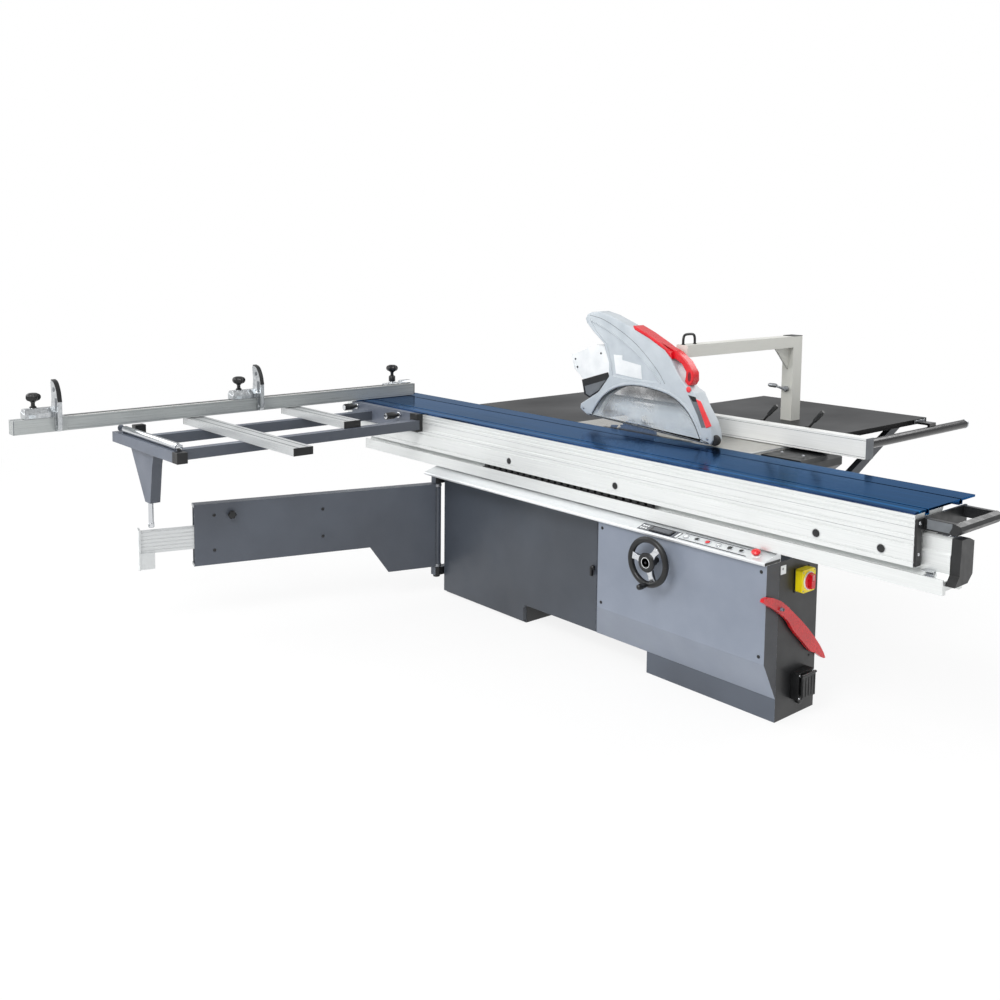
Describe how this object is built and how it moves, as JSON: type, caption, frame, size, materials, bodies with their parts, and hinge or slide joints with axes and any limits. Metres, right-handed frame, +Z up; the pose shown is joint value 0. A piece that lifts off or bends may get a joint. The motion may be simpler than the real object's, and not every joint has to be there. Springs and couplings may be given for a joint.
{
  "type": "sliding table panel saw",
  "caption": "Sliding-table panel saw with outrigger, crosscut fence with flip stops, rip fence, tilting and lifting saw unit and overhead guard.",
  "frame": {"origin": "floor point under the middle of the bounding box", "axes": "+X along the sliding table towards the operator's end, +Y across the saw from the sliding table to the rip side, +Z up"},
  "size_m": [3.332, 3.855, 1.394],
  "materials": {
    "aluminium": "satin anodised",
    "beam_paint": "satin",
    "black_plastic": "matt moulded",
    "black_table": "semi-gloss",
    "blue_anodised": "polished blue anodised",
    "cast_iron": "ground",
    "chrome": "polished",
    "clear_plastic": "clear polycarbonate",
    "dark_slate": "satin",
    "guard_grey": "satin moulded",
    "red_plastic": "gloss",
    "rubber": "matt",
    "slate": "satin",
    "steel": "machined",
    "white_paint": "satin",
    "yellow_plastic": "satin"
  },
  "bodies": {
    "machine": {"base_frame": "dark_slate", "cabinet_shell": "dark_slate", "front_cover": "slate", "control_fascia": "aluminium", "main_switch_plate": "yellow_plastic", "power_inlet": "black_plastic", "fixed_rail": "aluminium", "rail_end_cap": "black_plastic", "main_table": "cast_iron", "outfeed_table": "black_table", "side_table": "black_table", "rip_rail": "black_plastic", "guard_post": "beam_paint"},
    "door": {"cabinet_door": "dark_slate"},
    "latch": {"door_latch": "black_plastic"},
    "handwheel": {"handwheel": "black_plastic"},
    "wheel_knob": {"handwheel_knob": "black_plastic"},
    "switch_knob": {"main_switch_knob": "red_plastic"},
    "lid": {"inlet_lid": "black_plastic"},
    "push_stick": {"push_stick": "red_plastic"},
    "estop": {"estop_button": "red_plastic"},
    "start_button": {"start_button": "white_paint"},
    "stop_button": {"stop_button": "red_plastic"},
    "scorer_button": {"scorer_button": "black_plastic"},
    "cage": {"roller_cage": "black_plastic"},
    "carriage": {"carriage_body": "aluminium", "carriage_top": "blue_anodised", "push_handle": "black_plastic", "outrigger_frame": "slate", "outrigger_leg": "slate", "support_bar_1": "aluminium", "support_bar_2": "aluminium"},
    "fence": {"crosscut_fence": "aluminium"},
    "extension": {"fence_extension": "aluminium"},
    "stop_1": {"stop_carrier_1": "aluminium"},
    "stop_2": {"stop_carrier_2": "aluminium"},
    "flip_1": {"flip_arm_1": "aluminium"},
    "flip_2": {"flip_arm_2": "aluminium"},
    "stop_knob_1": {"stop_knob_1": "black_plastic"},
    "stop_knob_2": {"stop_knob_2": "black_plastic"},
    "edge_roller": {"outrigger_roller": "chrome"},
    "clamp_1": {"clamp_knob_1": "black_plastic"},
    "clamp_2": {"clamp_knob_2": "black_plastic"},
    "swing_arm": {"swing_arm": "dark_slate"},
    "inner_arm": {"inner_arm": "aluminium"},
    "rip_head": {"rip_fence_head": "black_plastic"},
    "rip_fence": {"rip_fence": "aluminium"},
    "lever_1": {"cam_lever_1": "black_plastic"},
    "lever_2": {"cam_lever_2": "black_plastic"},
    "trunnion": {"saw_trunnion": "steel"},
    "saw_unit": {"saw_carrier": "steel", "saw_motor": "black_plastic", "drive_belt": "rubber"},
    "blade": {"main_blade": "steel"},
    "scorer": {"scoring_blade": "steel"},
    "pulley": {"motor_pulley": "steel"},
    "guard": {"guard_hood": "guard_grey", "guard_window": "clear_plastic", "guard_handle": "red_plastic", "dust_outlet": "white_paint"}
  },
  "joints": [
    {"name": "carriage_slide", "type": "slide", "parent": "machine", "child": "carriage", "axis": [1, 0, 0], "range_m": [-1.2, 1.4]},
    {"name": "cage_slide", "type": "slide", "parent": "machine", "child": "cage", "axis": [1, 0, 0], "range_m": [-0.61, 0.71]},
    {"name": "arm_swing", "type": "hinge", "parent": "machine", "child": "swing_arm", "pos_m": [-0.904, -0.1775, 0.3], "axis": [0, 0, 1], "range_deg": [-45, 52]},
    {"name": "arm_slide", "type": "slide", "parent": "swing_arm", "child": "inner_arm", "axis": [-0.291, -0.9567, 0], "range_m": [-0.15, 0.75]},
    {"name": "fence_mitre", "type": "hinge", "parent": "carriage", "child": "fence", "pos_m": [-1.5615, 0.0525, 0.9], "axis": [0, 0, 1], "range_deg": [0, 45]},
    {"name": "extension_slide", "type": "slide", "parent": "fence", "child": "extension", "axis": [0, 1, 0], "range_m": [-0.45, 0]},
    {"name": "stop_1_slide", "type": "slide", "parent": "extension", "child": "stop_1", "axis": [0, 1, 0], "range_m": [-0.045, 0.6]},
    {"name": "stop_2_slide", "type": "slide", "parent": "fence", "child": "stop_2", "axis": [0, 1, 0], "range_m": [-0.15, 0.7]},
    {"name": "flip_1_lift", "type": "hinge", "parent": "stop_1", "child": "flip_1", "pos_m": [-1.554, -1.7575, 0.9635], "axis": [0, -1, 0], "range_deg": [0, 100]},
    {"name": "flip_2_lift", "type": "hinge", "parent": "stop_2", "child": "flip_2", "pos_m": [-1.554, -0.7975, 0.9635], "axis": [0, -1, 0], "range_deg": [0, 100]},
    {"name": "stop_1_clamp", "type": "hinge", "parent": "stop_1", "child": "stop_knob_1", "pos_m": [-1.5615, -1.8355, 0.9769], "axis": [0, 0, 1], "range_deg": [0, 360]},
    {"name": "stop_2_clamp", "type": "hinge", "parent": "stop_2", "child": "stop_knob_2", "pos_m": [-1.5615, -0.8755, 0.9769], "axis": [0, 0, 1], "range_deg": [0, 360]},
    {"name": "edge_roller_spin", "type": "hinge", "parent": "carriage", "child": "edge_roller", "pos_m": [-0.989, -1.4525, 0.852], "axis": [1, 0, 0], "continuous": true},
    {"name": "outrigger_clamp_1", "type": "hinge", "parent": "carriage", "child": "clamp_1", "pos_m": [-1.517, -0.2215, 0.846], "axis": [0, -1, 0], "range_deg": [0, 180]},
    {"name": "outrigger_clamp_2", "type": "hinge", "parent": "carriage", "child": "clamp_2", "pos_m": [-1.149, -0.2215, 0.846], "axis": [0, -1, 0], "range_deg": [0, 180]},
    {"name": "door_swing", "type": "hinge", "parent": "machine", "child": "door", "pos_m": [-0.877, -0.1515, 0.3], "axis": [0, 0, 1], "range_deg": [-75, 0]},
    {"name": "latch_turn", "type": "hinge", "parent": "door", "child": "latch", "pos_m": [0.122, -0.1515, 0.358], "axis": [0, 1, 0], "range_deg": [0, 90]},
    {"name": "handwheel_turn", "type": "hinge", "parent": "machine", "child": "handwheel", "pos_m": [0.526, -0.2775, 0.497], "axis": [0, 1, 0], "range_deg": [0, 1800]},
    {"name": "wheel_knob_spin", "type": "hinge", "parent": "handwheel", "child": "wheel_knob", "pos_m": [0.526, -0.2875, 0.4095], "axis": [0, 1, 0], "continuous": true},
    {"name": "main_switch_turn", "type": "hinge", "parent": "machine", "child": "switch_knob", "pos_m": [1.056, -0.0135, 0.502], "axis": [1, 0, 0], "range_deg": [0, 90]},
    {"name": "inlet_lid_lift", "type": "hinge", "parent": "machine", "child": "lid", "pos_m": [1.0679, -0.0095, 0.158], "axis": [0, -1, 0], "range_deg": [0, 110]},
    {"name": "push_stick_off", "type": "slide", "parent": "machine", "child": "push_stick", "axis": [1, 0, 0], "range_m": [0, 0.05]},
    {"name": "estop_press", "type": "slide", "parent": "machine", "child": "estop", "axis": [0, 0.2637, -0.9646], "range_m": [0, 0.003], "stiffness_N_per_m": 800},
    {"name": "start_press", "type": "slide", "parent": "machine", "child": "start_button", "axis": [0, 0.2637, -0.9646], "range_m": [0, 0.003], "stiffness_N_per_m": 800},
    {"name": "stop_press", "type": "slide", "parent": "machine", "child": "stop_button", "axis": [0, 0.2637, -0.9646], "range_m": [0, 0.003], "stiffness_N_per_m": 800},
    {"name": "scorer_press", "type": "slide", "parent": "machine", "child": "scorer_button", "axis": [0, 0.2637, -0.9646], "range_m": [0, 0.003], "stiffness_N_per_m": 800},
    {"name": "rip_head_slide", "type": "slide", "parent": "machine", "child": "rip_head", "axis": [0, 1, 0], "range_m": [-0.12, 0.5]},
    {"name": "rip_fence_slide", "type": "slide", "parent": "rip_head", "child": "rip_fence", "axis": [1, 0, 0], "range_m": [-0.1, 0.35]},
    {"name": "lever_1_turn", "type": "hinge", "parent": "rip_head", "child": "lever_1", "pos_m": [0.453, 0.5285, 0.9344], "axis": [0, 0, 1], "range_deg": [0, 90]},
    {"name": "lever_2_turn", "type": "hinge", "parent": "rip_head", "child": "lever_2", "pos_m": [0.676, 0.5285, 0.9344], "axis": [0, 0, 1], "range_deg": [0, 90]},
    {"name": "saw_tilt", "type": "hinge", "parent": "machine", "child": "trunnion", "pos_m": [0.011, 0.2305, 0.87], "axis": [-1, 0, 0], "range_deg": [0, 45]},
    {"name": "saw_lift", "type": "slide", "parent": "trunnion", "child": "saw_unit", "axis": [0, 0, 1], "range_m": [-0.07, 0.02]},
    {"name": "blade_spin", "type": "hinge", "parent": "saw_unit", "child": "blade", "pos_m": [0.011, 0.2305, 0.783], "axis": [0, 1, 0], "continuous": true},
    {"name": "scorer_spin", "type": "hinge", "parent": "saw_unit", "child": "scorer", "pos_m": [0.246, 0.2305, 0.811], "axis": [0, 1, 0], "continuous": true},
    {"name": "motor_spin", "type": "hinge", "parent": "saw_unit", "child": "pulley", "pos_m": [-0.049, 0.2305, 0.57], "axis": [0, 1, 0], "continuous": true},
    {"name": "guard_lift", "type": "slide", "parent": "machine", "child": "guard", "axis": [0, 0, 1], "range_m": [0, 0.15]}
  ],
  "couplings": [
    {"joint": "cage_slide", "follows": "carriage_slide", "ratio": 0.5},
    {"joint": "arm_swing", "follows": "carriage_slide", "rad_per_m": 0.62},
    {"joint": "handwheel_turn", "follows": "saw_tilt", "ratio": 40},
    {"joint": "motor_spin", "follows": "blade_spin", "ratio": 0.7}
  ]
}
